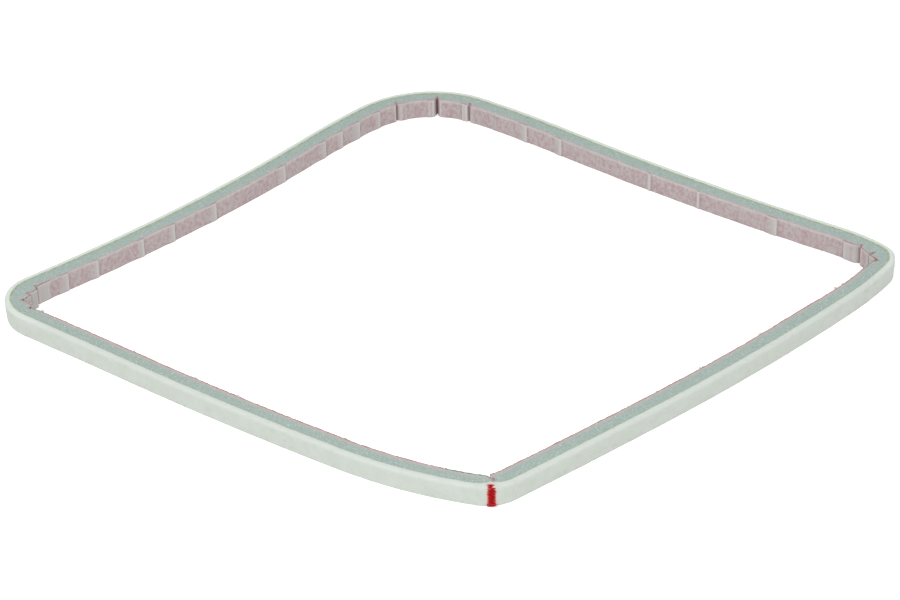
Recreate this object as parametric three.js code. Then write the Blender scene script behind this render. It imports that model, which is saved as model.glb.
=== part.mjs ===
import * as THREE from 'three';

// Felt seal for the drum of a tumble dryer: a strip of felt and foam that stands on its edge,
// bent into a loose four-cornered ring and stitched end to end. Sizes are in millimetres, +Z is
// up, angles are in degrees and counterclockwise seen from above. The origin is under the middle
// of the ring, on the surface that it stands on.

// Strip
const stripHeight = 17;
const feltThickness = 3.15;
const feltEdgeRadius = 1.2;
const bondThickness = 0.4;
const foamThickness = 11.5;
const adhesiveThickness = 0.35;
const paperThickness = 0.2;
const tabThickness = 0.2;

// Clearances
const layerGap = 0.05;
const paperGap = 0.15;
const buttGap = 0.3;

// Lengths along the felt's inner face, from the joint and counterclockwise
const jointRight = 16.5;
const frontRightStart = 150;
const frontRightEnd = 50;
const rightCornerStart = 13;
const rightCornerMiddle = 18;
const rightCornerEnd = 41;
const backRightEnd = 127;
const backCornerLeadIn = 90;
const backCornerRight = 54.5;
const backCornerLeft = 56;
const backCornerLeadOut = 75.5;
const backLeftStart = 130;
const backLeftEnd = 172;
const leftCornerStart = 15.5;
const leftCornerMiddle = 27;
const leftCornerEnd = 19.5;
const frontLeftStart = 108;
const frontLeftMiddle = 203;
const frontLeftEnd = 110;
const jointLeft = 11;

// Path made of those stretches, with the turn of each. The two stretches with no length close the
// ring, and the last one takes up what is left of the full turn.
const startHeading = 5.3;
const stretches = [
  { name: 'joint, right half', length: jointRight, turn: 33.6 },
  { name: 'front right side, start', length: frontRightStart, turn: 1.4 },
  { name: 'front right side, middle', length: null, turn: 6.4 },
  { name: 'front right side, end', length: frontRightEnd, turn: 9 },
  { name: 'right corner, start', length: rightCornerStart, turn: 26 },
  { name: 'right corner, middle', length: rightCornerMiddle, turn: 48.5 },
  { name: 'right corner, end', length: rightCornerEnd, turn: 14 },
  { name: 'back right side, start', length: null, turn: -3.9 },
  { name: 'back right side, end', length: backRightEnd, turn: -2.9 },
  { name: 'back corner, lead in', length: backCornerLeadIn, turn: 5.4 },
  { name: 'back corner, right half', length: backCornerRight, turn: 43.1 },
  { name: 'back corner, left half', length: backCornerLeft, turn: 39.6 },
  { name: 'back corner, lead out', length: backCornerLeadOut, turn: 5.8 },
  { name: 'back left side, start', length: backLeftStart, turn: -5.5 },
  { name: 'back left side, end', length: backLeftEnd, turn: -6 },
  { name: 'left corner, start', length: leftCornerStart, turn: 28.3 },
  { name: 'left corner, middle', length: leftCornerMiddle, turn: 46.2 },
  { name: 'left corner, end', length: leftCornerEnd, turn: 27.3 },
  { name: 'front left side, start', length: frontLeftStart, turn: -1.1 },
  { name: 'front left side, middle', length: frontLeftMiddle, turn: 4 },
  { name: 'front left side, end', length: frontLeftEnd, turn: 18.2 },
  { name: 'joint, left half', length: jointLeft, turn: null },
];
const longestStep = 28;
const largestTurn = 8;
const shortestStep = 0.2;

// Folds of the foam's inner face where the strip turns sharply, in groups: [place from the
// corner's middle, lift over the plain face, lift of the paper over the foam]. A crease has a
// negative lift and a bulge a positive one.
const rightCornerFolds = [
  [-38.5, 0, 0], [-27.5, 0, 0.2], [-17, -4.6, 3], [-3.5, 3, 0.3], [4, -3.2, 3.4], [7.5, 2.3, 0.3],
  [18, 0.8, 0.3], [21.5, -4.8, 2.5], [28, 0.5, 0.5], [33, 0, 0.9], [37, 0, 0.9], [38, 0, 0],
];
const backCornerCreases = [
  [[-59, 0, 0], [-53.5, 0.6, 0.2], [-49, -3.5, 1.5], [-46.5, 0, 0.9], [-42, 0, 0.9], [-41, 0, 0]],
  [[-21, 0, 0], [-18, -0.3, 0.3], [-14, -7, 1.5], [-10, -0.3, 0.6], [-5.5, 0, 0.6], [-4, 0, 0]],
  [[16, 0, 0], [18.5, 0, 0.5], [22, 0, 0.5], [27.5, -4.5, 1.5], [30, 0, 0.2], [32, 0, 0]],
];
const leftCornerFolds = [
  [-44, 0, 0], [-39, 0, 0.4], [-34, 0, 0.5], [-30, 0.6, 0.2], [-27.5, -1.6, 1.2], [-22.5, 3.6, 0.3],
  [-15.5, 3, 0.3], [-8.5, -1.2, 1.8], [-3.5, 2.8, 0.3], [1, 1.2, 0.4], [6, -4.2, 2.6], [15, 0, 0.2],
  [21.5, 1.3, 0.3], [25.5, -4.2, 3], [31, -1.6, 0.3], [37, 0, 0],
];

// Ridges where the release paper stands off the adhesive: [share of the way between the folds at
// the side's two ends, width]. One side of a ridge is steep and the other slopes away.
const ridgeLift = 0.9;
const ridgeFarLift = 0.7;
const ridgeStep = 0.7;
const backRightRidges = [[0.167, 6.5], [0.356, 4], [0.496, 5], [0.751, 5], [0.854, 6]];
const backLeftRidges = [
  [0.045, 5], [0.112, 7], [0.169, 4], [0.226, 5], [0.359, 6], [0.568, 6], [0.685, 4.5],
  [0.769, 4.5], [0.887, 4.5], [0.963, 5],
];

// Joint: the foam's ends are rounded, and a starter tab takes the paper's place before it.
const rightEndLength = 3.5;
const leftEndLength = 6.5;
const endRoundDepth = 4.5;
const rightEndBare = 0.7;
const leftEndBare = 1.3;
const paperSetback = 0.8;
const tabLength = 39;
const tabGap = 0.6;

// Seam thread: a closed row of zigzag stitches on the felt's outer face.
const seamWidth = 6;
const seamMargin = 0.9;
const toothDepth = 1.1;
const toothCount = 14;
const threadThickness = 0.45;

const radians = THREE.MathUtils.degToRad;

const mintFelt = new THREE.MeshStandardMaterial({ color: 0xccd3cb, roughness: 0.95 });
const oliveGlue = new THREE.MeshStandardMaterial({ color: 0xaab383, roughness: 0.6 });
const greyFoam = new THREE.MeshStandardMaterial({ color: 0xa4b3ac, roughness: 0.9 });
const pinkAdhesive = new THREE.MeshStandardMaterial({ color: 0xb7888c, roughness: 0.5 });
const greyPaper = new THREE.MeshStandardMaterial({ color: 0xc4bab9, roughness: 0.6 });
const turquoiseFilm = new THREE.MeshStandardMaterial({ color: 0x5fc2a0, roughness: 0.4 });
const redThread = new THREE.MeshStandardMaterial({ color: 0xb4181b, roughness: 0.7 });

// Chord of an arc that is one unit long, starts at a heading and turns by an angle.
function unitChord(heading, turn) {
  const half = turn / 2;
  const length = Math.abs(half) < 1e-9 ? 1 : Math.sin(half) / half;
  return new THREE.Vector2(Math.cos(heading + half), Math.sin(heading + half)).multiplyScalar(length);
}

// Stretches with their missing turn and lengths worked out, so that the path closes on itself.
function closedPath() {
  const knownTurn = stretches.reduce((sum, stretch) => sum + (stretch.turn ?? 0), 0);
  const path = stretches.map((stretch) => ({
    name: stretch.name,
    length: stretch.length,
    turn: radians(stretch.turn ?? 360 - knownTurn),
  }));
  const open = [];
  const gap = new THREE.Vector2();
  let heading = radians(startHeading);
  for (const stretch of path) {
    const chord = unitChord(heading, stretch.turn);
    if (stretch.length === null) {
      open.push({ stretch, chord });
    } else {
      gap.addScaledVector(chord, stretch.length);
    }
    heading += stretch.turn;
  }
  const [first, second] = open;
  const area = first.chord.cross(second.chord);
  first.stretch.length = -gap.cross(second.chord) / area;
  second.stretch.length = gap.cross(first.chord) / area;
  return path;
}

const path = closedPath();

// Place where a named stretch ends, and the middle of one.
function endOf(name) {
  const index = path.findIndex((stretch) => stretch.name === name);
  return path.slice(0, index + 1).reduce((sum, stretch) => sum + stretch.length, 0);
}

function middleOf(name) {
  return endOf(name) - path.find((stretch) => stretch.name === name).length / 2;
}

// Stations along the path, each with its place along it, its point in plan and its inward normal.
function layStations() {
  const stations = [];
  const point = new THREE.Vector2();
  let heading = radians(startHeading);
  let along = 0;
  const addStation = () => {
    const inward = new THREE.Vector2(-Math.sin(heading), Math.cos(heading));
    stations.push({ along, point: point.clone(), inward });
  };
  addStation();
  for (const stretch of path) {
    const byLength = Math.ceil(stretch.length / longestStep);
    const byTurn = Math.ceil(Math.abs(stretch.turn) / radians(largestTurn));
    const count = Math.max(1, byLength, byTurn);
    for (let i = 0; i < count; i += 1) {
      const chord = unitChord(heading, stretch.turn / count);
      point.addScaledVector(chord, stretch.length / count);
      heading += stretch.turn / count;
      along += stretch.length / count;
      addStation();
    }
  }
  return stations;
}

const stations = layStations();
const ringLength = stations.at(-1).along;
const backCorner = endOf('back corner, right half');

// The ring's middle, from the felt's outer face, is the origin.
const outerBox = new THREE.Box2().setFromPoints(
  stations.map(({ point, inward }) => point.clone().addScaledVector(inward, -feltThickness)),
);
const middle = outerBox.getCenter(new THREE.Vector2());
stations.forEach(({ point }) => point.sub(middle));

// Point in plan at a place along the path, on the chord between stations, and set inwards from it.
function planPoint(along, inset) {
  const after = stations.findIndex((station) => station.along > along);
  const index = after === -1 ? stations.length - 1 : Math.max(after, 1);
  const previous = stations[index - 1];
  const next = stations[index];
  const share = (along - previous.along) / (next.along - previous.along);
  const inward = previous.inward.clone().lerp(next.inward, share);
  return previous.point.clone().lerp(next.point, share).addScaledVector(inward, inset);
}

// Places from one to another in order: the ends, the shaped places between them, and the stations
// that are clear of both.
function placesBetween(start, end, shaped = []) {
  const kept = [start, ...shaped.filter((along) => along > start && along < end), end];
  const isClear = (along) => kept.every((place) => Math.abs(place - along) > shortestStep);
  const plain = stations.map((station) => station.along)
    .filter((along) => along > start && along < end && isClear(along));
  return [...kept, ...plain].sort((a, b) => a - b);
}

// Value at a place in a list of [place, value] pairs, nought outside it and straight between them.
function valueAt(pairs, along) {
  const after = pairs.findIndex(([place]) => place >= along);
  if (after <= 0) {
    return after === 0 && pairs[0][0] === along ? pairs[0][1] : 0;
  }
  const [x0, y0] = pairs[after - 1];
  const [x1, y1] = pairs[after];
  return y0 + (y1 - y0) * (along - x0) / (x1 - x0);
}

// Line moved to its left by a distance, mitred at its corners.
function offsetLine(line, distance) {
  return line.map((point, i) => {
    const before = line[Math.max(i - 1, 0)];
    const after = line[Math.min(i + 1, line.length - 1)];
    const normals = [[before, point], [point, after]]
      .filter(([a, b]) => a !== b)
      .map(([a, b]) => b.clone().sub(a).normalize().rotateAround(new THREE.Vector2(), Math.PI / 2));
    const bisector = normals[0].clone().add(normals.at(-1)).normalize();
    return point.clone().addScaledVector(bisector, distance / bisector.dot(normals[0]));
  });
}

// Flat-sided layer: the plan between an outer and an inner line, as high as the strip.
function layerGeometry(outer, inner) {
  const outline = new THREE.Shape([...outer, ...inner.toReversed()]);
  return new THREE.ExtrudeGeometry(outline, { depth: stripHeight, bevelEnabled: false });
}

// Solid between rows of points that run along the strip, in order round its section.
function rowsGeometry(rows) {
  const around = rows.length;
  const length = rows[0].length;
  const positions = [];
  const triangles = [];
  for (let i = 0; i < length; i += 1) {
    rows.forEach((row) => positions.push(row[i].x, row[i].y, row[i].z));
  }
  for (let i = 0; i + 1 < length; i += 1) {
    for (let j = 0; j < around; j += 1) {
      const here = i * around + j;
      const beside = i * around + (j + 1) % around;
      triangles.push(here, beside, beside + around, here, beside + around, here + around);
    }
  }
  const lastRing = (length - 1) * around;
  for (let j = 1; j + 1 < around; j += 1) {
    triangles.push(0, j + 1, j);
    triangles.push(lastRing, lastRing + j, lastRing + j + 1);
  }
  const geometry = new THREE.BufferGeometry();
  geometry.setAttribute('position', new THREE.Float32BufferAttribute(positions, 3));
  geometry.setIndex(triangles);
  geometry.computeVertexNormals();
  return geometry;
}

function raise(line, height) {
  return line.map((point) => new THREE.Vector3(point.x, point.y, height));
}

// Places of the butt joint's two faces.
const ringStart = buttGap / 2;
const ringEnd = ringLength - buttGap / 2;

// Felt's inner face, which the other layers are stacked on.
const bondLine = placesBetween(ringStart, ringEnd).map((along) => planPoint(along, 0));

// Felt strip with its two outer edges rounded.
function feltGeometry() {
  const edgeSteps = 3;
  const edge = (z, start) => Array.from({ length: edgeSteps + 1 }, (_, i) => {
    const angle = start + (Math.PI / 2) * (i / edgeSteps);
    const inset = feltEdgeRadius * (1 - Math.cos(angle)) - feltThickness;
    return [inset, z + feltEdgeRadius * Math.sin(angle)];
  });
  const upper = edge(stripHeight - feltEdgeRadius, 0);
  const lower = edge(feltEdgeRadius, -Math.PI / 2);
  const section = [[0, 0], [0, stripHeight], ...upper.toReversed(), ...lower.toReversed()];
  return rowsGeometry(section.map(([inset, height]) => raise(offsetLine(bondLine, inset), height)));
}

function bondGeometry() {
  return layerGeometry(
    offsetLine(bondLine, layerGap),
    offsetLine(bondLine, layerGap + bondThickness),
  );
}

// How far the rounded ends fall back from the inner face, at a place along the path.
function endFall(along) {
  const fromStart = (along - ringStart) / rightEndLength;
  const fromEnd = (ringEnd - along) / leftEndLength;
  const share = Math.min(fromStart, fromEnd, 1);
  return endRoundDepth * (1 - Math.sqrt(1 - (1 - share) ** 2));
}

// Shares of a rounded end that its points are at
const endShares = [0.06, 0.2, 0.45, 0.75, 1];
const endPlaces = endShares.flatMap((share) => [
  ringStart + share * rightEndLength,
  ringEnd - share * leftEndLength,
]);

// Groups of folds, with their places along the path.
const foldGroups = [
  [middleOf('right corner, middle'), rightCornerFolds],
  ...backCornerCreases.map((folds) => [backCorner, folds]),
  [middleOf('left corner, middle'), leftCornerFolds],
].map(([corner, folds]) => folds.map(([place, lift, bridge]) => [corner + place, lift, bridge]));

function isFolded(along) {
  return foldGroups.some((group) => along > group[0][0] && along < group.at(-1)[0]);
}

// Line over the foam's inner face at the lifts given, as [place, point] pairs. Between folds it
// runs straight.
const foamInset = 2 * layerGap + bondThickness + foamThickness;
function innerLine(lifts) {
  const shaped = [...endPlaces, ...lifts.map(([along]) => along)];
  return placesBetween(ringStart, ringEnd, shaped)
    .filter((along) => shaped.includes(along) || !isFolded(along))
    .map((along) => {
      const inset = foamInset + valueAt(lifts, along) - endFall(along);
      return [along, planPoint(along, inset)];
    });
}

// Points of such a line from one place to another, with its ends on the line's own chords.
function partOfLine(line, start, end) {
  const pointAt = (along) => {
    const after = Math.max(1, line.findIndex(([place]) => place >= along));
    const [from, fromPoint] = line[after - 1];
    const [to, toPoint] = line[after];
    return fromPoint.clone().lerp(toPoint, (along - from) / (to - from));
  };
  const inside = line.filter(([along]) => along > start + shortestStep && along < end - shortestStep);
  return [pointAt(start), ...inside.map(([, point]) => point), pointAt(end)];
}

const foamFace = innerLine(foldGroups.flat().map(([along, lift]) => [along, lift]));
const filmStart = ringStart + rightEndBare;
const filmEnd = ringEnd - leftEndBare;
const tabStart = ringLength - tabLength;

function foamGeometry() {
  const outer = offsetLine(bondLine, 2 * layerGap + bondThickness);
  return layerGeometry(outer, foamFace.map(([, point]) => point));
}

const adhesiveInset = layerGap + adhesiveThickness;

function adhesiveGeometry() {
  const face = partOfLine(foamFace, filmStart, filmEnd);
  return layerGeometry(offsetLine(face, layerGap), offsetLine(face, adhesiveInset));
}

// Ridges between the folds at the two ends of a side, as [place, lift] pairs.
function ridgeLifts(start, end, ridges) {
  return ridges.flatMap(([share, width]) => {
    const steep = start + (end - start) * share;
    return [
      [steep - ridgeStep, 0],
      [steep, ridgeLift],
      [steep + width, ridgeFarLift],
      [steep + width * 2, 0],
    ];
  });
}

// The paper bridges the creases and stands off in ridges.
const [rightCornerGroup, ...backCornerGroups] = foldGroups;
const leftCornerGroup = backCornerGroups.pop();
const paperLifts = [
  ...foldGroups.flat().map(([along, lift, bridge]) => [along, lift + bridge]),
  ...ridgeLifts(rightCornerGroup.at(-1)[0], backCornerGroups[0][0][0], backRightRidges),
  ...ridgeLifts(backCornerGroups.at(-1).at(-1)[0], leftCornerGroup[0][0], backLeftRidges),
].sort((a, b) => a[0] - b[0]);

function paperGeometry() {
  const face = partOfLine(innerLine(paperLifts), filmStart + paperSetback, tabStart - tabGap);
  const inset = adhesiveInset + paperGap;
  return layerGeometry(offsetLine(face, inset), offsetLine(face, inset + paperThickness));
}

function tabGeometry() {
  const face = partOfLine(foamFace, tabStart, filmEnd - paperSetback);
  const inset = adhesiveInset + layerGap;
  return layerGeometry(offsetLine(face, inset), offsetLine(face, inset + tabThickness));
}

// Band of zigzag stitches: toothed edges, wrapped on the felt's outer face across the joint.
function threadGeometry() {
  const half = seamWidth / 2;
  const bottom = seamMargin;
  const pitch = (stripHeight - 2 * seamMargin) / toothCount;
  const outer = -feltThickness - layerGap;
  const onFace = (across, inset, height) => {
    const along = across < 0 ? ringLength + across : across;
    const point = planPoint(along, inset);
    return new THREE.Vector3(point.x, point.y, height);
  };
  const columns = [-half, -half + toothDepth, 0, half - toothDepth, half];
  const [leftTip, leftRoot, centre, rightRoot, rightTip] = columns.keys();
  const heights = Array.from({ length: toothCount * 2 + 1 }, (_, i) => bottom + pitch * i / 2);
  const positions = [];
  const triangles = [];
  const index = (column, row, side) => (column * heights.length + row) * 2 + side;
  columns.forEach((across) => heights.forEach((height) => [0, 1].forEach((side) => {
    positions.push(...onFace(across, outer - side * threadThickness, height).toArray());
  })));
  // A face on both sides of the band, and walls round its edge.
  const addFace = (corners) => {
    for (let i = 1; i + 1 < corners.length; i += 1) {
      triangles.push(...[corners[0], corners[i], corners[i + 1]].map(([c, r]) => index(c, r, 1)));
      triangles.push(...[corners[0], corners[i + 1], corners[i]].map(([c, r]) => index(c, r, 0)));
    }
  };
  const addWall = ([c0, r0], [c1, r1]) => {
    triangles.push(index(c0, r0, 0), index(c1, r1, 0), index(c1, r1, 1));
    triangles.push(index(c0, r0, 0), index(c1, r1, 1), index(c0, r0, 1));
  };
  for (let row = 0; row + 1 < heights.length; row += 1) {
    addFace([[leftRoot, row], [centre, row], [centre, row + 1], [leftRoot, row + 1]]);
    addFace([[centre, row], [rightRoot, row], [rightRoot, row + 1], [centre, row + 1]]);
  }
  const top = heights.length - 1;
  [[leftRoot, centre], [centre, rightRoot]].forEach(([left, right]) => {
    addWall([left, 0], [right, 0]);
    addWall([right, top], [left, top]);
  });
  for (let row = 0; row < top; row += 2) {
    addFace([[leftRoot, row], [leftRoot, row + 1], [leftTip, row + 1]]);
    addFace([[leftRoot, row + 1], [leftRoot, row + 2], [leftTip, row + 1]]);
    addWall([leftTip, row + 1], [leftRoot, row]);
    addWall([leftRoot, row + 2], [leftTip, row + 1]);
    addFace([[rightRoot, row], [rightTip, row + 1], [rightRoot, row + 1]]);
    addFace([[rightRoot, row + 1], [rightTip, row + 1], [rightRoot, row + 2]]);
    addWall([rightRoot, row], [rightTip, row + 1]);
    addWall([rightTip, row + 1], [rightRoot, row + 2]);
  }
  const geometry = new THREE.BufferGeometry();
  geometry.setAttribute('position', new THREE.Float32BufferAttribute(positions, 3));
  geometry.setIndex(triangles);
  geometry.computeVertexNormals();
  return geometry;
}

const seal = new THREE.Group();

function addPiece(name, geometry, material) {
  const piece = new THREE.Mesh(geometry, material);
  piece.name = name;
  seal.add(piece);
}

addPiece('felt_facing', feltGeometry(), mintFelt);
addPiece('bonding_film', bondGeometry(), oliveGlue);
addPiece('foam_core', foamGeometry(), greyFoam);
addPiece('adhesive_film', adhesiveGeometry(), pinkAdhesive);
addPiece('release_paper', paperGeometry(), greyPaper);
addPiece('starter_tab', tabGeometry(), turquoiseFilm);
addPiece('seam_thread', threadGeometry(), redThread);

export default seal;
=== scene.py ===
import math
import random

import bpy
import numpy as np
from mathutils import Matrix, Vector, noise


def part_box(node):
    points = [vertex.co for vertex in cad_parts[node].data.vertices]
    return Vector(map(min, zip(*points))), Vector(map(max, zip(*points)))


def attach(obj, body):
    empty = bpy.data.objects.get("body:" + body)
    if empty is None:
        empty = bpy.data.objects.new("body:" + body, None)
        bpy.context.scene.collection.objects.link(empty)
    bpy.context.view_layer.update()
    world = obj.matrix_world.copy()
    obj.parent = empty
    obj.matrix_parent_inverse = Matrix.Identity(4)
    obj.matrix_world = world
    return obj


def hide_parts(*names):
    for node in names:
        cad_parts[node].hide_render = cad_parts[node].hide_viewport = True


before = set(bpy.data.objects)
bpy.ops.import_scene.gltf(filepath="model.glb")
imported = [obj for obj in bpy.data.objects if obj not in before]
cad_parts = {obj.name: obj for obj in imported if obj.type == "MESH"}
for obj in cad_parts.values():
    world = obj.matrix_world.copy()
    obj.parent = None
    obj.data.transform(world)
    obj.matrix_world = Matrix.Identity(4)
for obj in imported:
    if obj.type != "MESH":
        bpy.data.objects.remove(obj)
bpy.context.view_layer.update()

# Sizes are in metres and angles in radians. Places are measured along the felt's inner face, from
# the stitched joint and counterclockwise, and insets from that face towards the ring's middle.
MM = 0.001

# Camera, as fitted to the photograph: it looks at a point on the ground
CAMERA_LENS = 131.24
CAMERA_SENSOR = 36.0
CAMERA_PITCH = math.radians(31.707)
CAMERA_ROLL = math.radians(-1.231)
CAMERA_TURN = math.radians(-0.174)
CAMERA_DISTANCE = 2.5723
CAMERA_TARGET = (-0.00226, -0.01781)

# Strip
STRIP_HEIGHT = 17 * MM
FELT_THICKNESS = 3.15 * MM
FELT_FOOT = 3.3 * MM
FELT_HEAD = 4.1 * MM
FELT_EDGE = 2.0 * MM
FELT_RISE = 0.35 * MM
FOAM_OUTER = 0.5 * MM
FOAM_INNER = 12.0 * MM
FOAM_TOP = STRIP_HEIGHT - 0.4 * MM
ADHESIVE_THICKNESS = 0.3 * MM
GLUE_WIDTH = 0.75 * MM
PAPER_THICKNESS = 0.18 * MM
TAB_THICKNESS = 0.35 * MM
LAYER_GAP = 0.05 * MM
BUTT_GAP = 0.1 * MM

# Path of the strip: lengths in millimetres and turns in degrees. Two lengths close the ring, and
# the last turn is what is left of the full one.
START_HEADING = math.radians(5.3)
STRETCHES = [
    ("joint, right half", 16.5, 33.6),
    ("front right side, start", 150, 1.4),
    ("front right side, middle", None, 6.4),
    ("front right side, end", 50, 9),
    ("right corner, start", 13, 26),
    ("right corner, middle", 18, 48.5),
    ("right corner, end", 41, 14),
    ("back right side, start", None, -3.9),
    ("back right side, end", 127, -2.9),
    ("back corner, lead in", 90, 5.4),
    ("back corner, right half", 54.5, 43.1),
    ("back corner, left half", 56, 39.6),
    ("back corner, lead out", 75.5, 5.8),
    ("back left side, start", 130, -5.5),
    ("back left side, end", 172, -6),
    ("left corner, start", 15.5, 28.3),
    ("left corner, middle", 27, 46.2),
    ("left corner, end", 19.5, 27.3),
    ("front left side, start", 108, -1.1),
    ("front left side, middle", 203, 4),
    ("front left side, end", 110, 18.2),
    ("joint, left half", 11, None),
]
PATH_STEP = 1 * MM

# Folds of the foam's inner face, in millimetres: place from the corner's middle, lift of the foam
# and extra lift of the release paper.
RIGHT_CORNER_FOLDS = [
    (-38.5, 0, 0), (-27.5, 0, 0.2), (-17, -4.6, 3), (-3.5, 3, 0.7), (4, -3.2, 3.4), (7.5, 2.3, 0.7),
    (18, 0.8, 0.3), (21.5, -4.8, 2.5), (28, 0.5, 0.5), (33, 0, 0.9), (37, 0, 0.9), (38, 0, 0),
]
BACK_CORNER_CREASES = [
    [(-59, 0, 0), (-53.5, 0.6, 0.2), (-49, -3.5, 1.5), (-46.5, 0, 0.9), (-42, 0, 0.9), (-41, 0, 0)],
    [(-21, 0, 0), (-18, -0.5, 0.3), (-14, -8, 0.9), (-10, -0.5, 0.6), (-5.5, 0, 0.6), (-4, 0, 0)],
    [(16, 0, 0), (18.5, 0, 0.5), (22, 0, 0.5), (27.5, -4.5, 1.5), (30, 0, 0.2), (32, 0, 0)],
]
LEFT_CORNER_FOLDS = [
    (-44, 0, 0), (-39, 0, 0.8), (-34, 0, 0.9), (-30, 0.6, 0.7), (-27.5, -1.6, 1.2), (-22.5, 3.6, 0.8),
    (-15.5, 3, 0.8), (-8.5, -1.2, 1.8), (-3.5, 2.8, 0.8), (1, 1.2, 0.7), (6, -4.2, 2.6), (15, 0, 0.2),
    (21.5, 1.3, 0.3), (25.5, -4.2, 3), (31, -1.6, 0.3), (37, 0, 0),
]
CREASE_DEPTH = 0.5

# Ridges of the release paper: share of the way between the folds at a side's ends, and width in
# millimetres. The side towards the joint is steep.
RIDGE_LIFT = 0.9
RIDGE_FAR_LIFT = 0.62
RIDGE_STEP = 0.7
BACK_RIGHT_RIDGES = [(0.167, 6.5), (0.3675, 1.5), (0.499, 1.8), (0.751, 5), (0.854, 6)]
BACK_LEFT_RIDGES = [
    (0.045, 5), (0.112, 7), (0.169, 4), (0.226, 5), (0.359, 6), (0.568, 6), (0.685, 4.5),
    (0.769, 4.5), (0.887, 4.5), (0.963, 5),
]

# Joint: the right end of the foam is pressed a little past the felt's own joint
JOINT_PLACE = -0.5 * MM
RIGHT_END_LENGTH = 1.2 * MM
LEFT_END_LENGTH = 6.5 * MM
RIGHT_END_DEPTH = 6.0 * MM
LEFT_END_DEPTH = 4.1 * MM
RIGHT_END_BARE = 0.02 * MM
LEFT_END_BARE = 0.1 * MM
TAB_LENGTH = 39 * MM

# Swell of the foam towards the ring's middle, in millimetres from the joint: place and swell. The
# front right side is a little fuller than the rest, and the left end of the strip is pulled thin.
FRONT_SWELL = [(-70, 0), (-25, -0.7), (-0.6, -0.7), (-0.4, 0.2), (6, 1.25), (330, 1.2), (372, 0)]

# Seam: the stitches draw the felt's ends together, so that the felt bulges inwards there. The
# bulge is broad, with a narrow crest where the two ends meet.
SEAM_MIDDLE = -0.5 * MM
SEAM_HALF_WIDTH = 3.4 * MM
SEAM_BULGE = 2.4 * MM
SEAM_BULGE_REACH = 7.5 * MM
SEAM_CREST = 1.6 * MM
SEAM_CREST_REACH = 0.9 * MM


# Path


def unit_chord(heading, turn):
    """Chord of an arc one unit long."""
    half = turn / 2
    length = 1 if abs(half) < 1e-9 else math.sin(half) / half
    return length * np.array([math.cos(heading + half), math.sin(heading + half)])


def closed_path():
    """Lengths and turns of the stretches, with the missing ones worked out so that the ring closes."""
    known_turn = sum(turn for _, _, turn in STRETCHES if turn is not None)
    turns = [math.radians(360 - known_turn if turn is None else turn) for _, _, turn in STRETCHES]
    lengths = [None if length is None else length * MM for _, length, _ in STRETCHES]
    heading = START_HEADING
    gap = np.zeros(2)
    open_chords = {}
    for i, turn in enumerate(turns):
        chord = unit_chord(heading, turn)
        if lengths[i] is None:
            open_chords[i] = chord
        else:
            gap += chord * lengths[i]
        heading += turn
    solved = np.linalg.solve(np.array(list(open_chords.values())).T, -gap)
    for i, length in zip(open_chords, solved):
        lengths[i] = float(length)
    return lengths, turns


LENGTHS, TURNS = closed_path()
RING_LENGTH = sum(LENGTHS)


def end_of(name):
    names = [stretch[0] for stretch in STRETCHES]
    return sum(LENGTHS[:names.index(name) + 1])


def middle_of(name):
    names = [stretch[0] for stretch in STRETCHES]
    return end_of(name) - LENGTHS[names.index(name)] / 2


def fine_path():
    """Places, points and headings along the path in short steps."""
    places, points, headings = [0.0], [np.zeros(2)], [START_HEADING]
    for length, turn in zip(LENGTHS, TURNS):
        count = round(length / PATH_STEP)
        for _ in range(count):
            chord = unit_chord(headings[-1], turn / count)
            points.append(points[-1] + chord * (length / count))
            headings.append(headings[-1] + turn / count)
            places.append(places[-1] + length / count)
    return np.array(places), np.array(points), np.array(headings)


PLACES, POINTS, HEADINGS = fine_path()


def plan_points(places, inset):
    """Points in plan at places along the path, set inwards from it."""
    places = np.mod(places, RING_LENGTH)
    heading = np.interp(places, PLACES, HEADINGS)
    x = np.interp(places, PLACES, POINTS[:, 0]) - np.sin(heading) * inset
    y = np.interp(places, PLACES, POINTS[:, 1]) + np.cos(heading) * inset
    return np.stack([x, y], axis=-1)


def centre_path():
    """Moves the path so that the felt's outer face lies where the CAD felt's does."""
    low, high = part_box("felt_facing")
    outer = plan_points(PLACES, -FELT_THICKNESS)
    middle = (outer.min(axis=0) + outer.max(axis=0)) / 2
    POINTS[:] += np.array([(low.x + high.x) / 2, (low.y + high.y) / 2]) - middle


centre_path()

RING_START = JOINT_PLACE + BUTT_GAP / 2
RING_END = JOINT_PLACE + RING_LENGTH - BUTT_GAP / 2
TAB_START = RING_LENGTH - TAB_LENGTH


# Folds, ridges and rounded ends


def fold_groups():
    """Groups of folds as arrays of place, foam lift and paper lift, in metres."""
    back_corner = end_of("back corner, right half")
    groups = [(middle_of("right corner, middle"), RIGHT_CORNER_FOLDS)]
    groups += [(back_corner, folds) for folds in BACK_CORNER_CREASES]
    groups += [(middle_of("left corner, middle"), LEFT_CORNER_FOLDS)]
    return [
        np.array([(corner + place * MM, lift * MM, (lift + bridge) * MM) for place, lift, bridge in folds])
        for corner, folds in groups
    ]


FOLDS = fold_groups()


def folded(points, places):
    """Lift at each place through fold points: creases are sharp, and the bulges between are round."""
    lifts = np.zeros_like(places)
    heights = points[:, 1]
    count = len(points)
    creased = [
        0 < i < count - 1 and max(heights[i - 1], heights[i + 1]) - heights[i] > 2 * CREASE_DEPTH * MM
        and min(heights[i - 1], heights[i + 1]) > heights[i]
        for i in range(count)
    ]
    for i in range(count - 1):
        inside = (places >= points[i, 0]) & (places <= points[i + 1, 0])
        share = (places[inside] - points[i, 0]) / (points[i + 1, 0] - points[i, 0])
        if creased[i]:
            ease = np.sin(share * math.pi / 2)
        elif creased[i + 1]:
            ease = 1 - np.cos(share * math.pi / 2)
        else:
            ease = share * share * (3 - 2 * share)
        lifts[inside] = heights[i] + (heights[i + 1] - heights[i]) * ease
    return lifts


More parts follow.
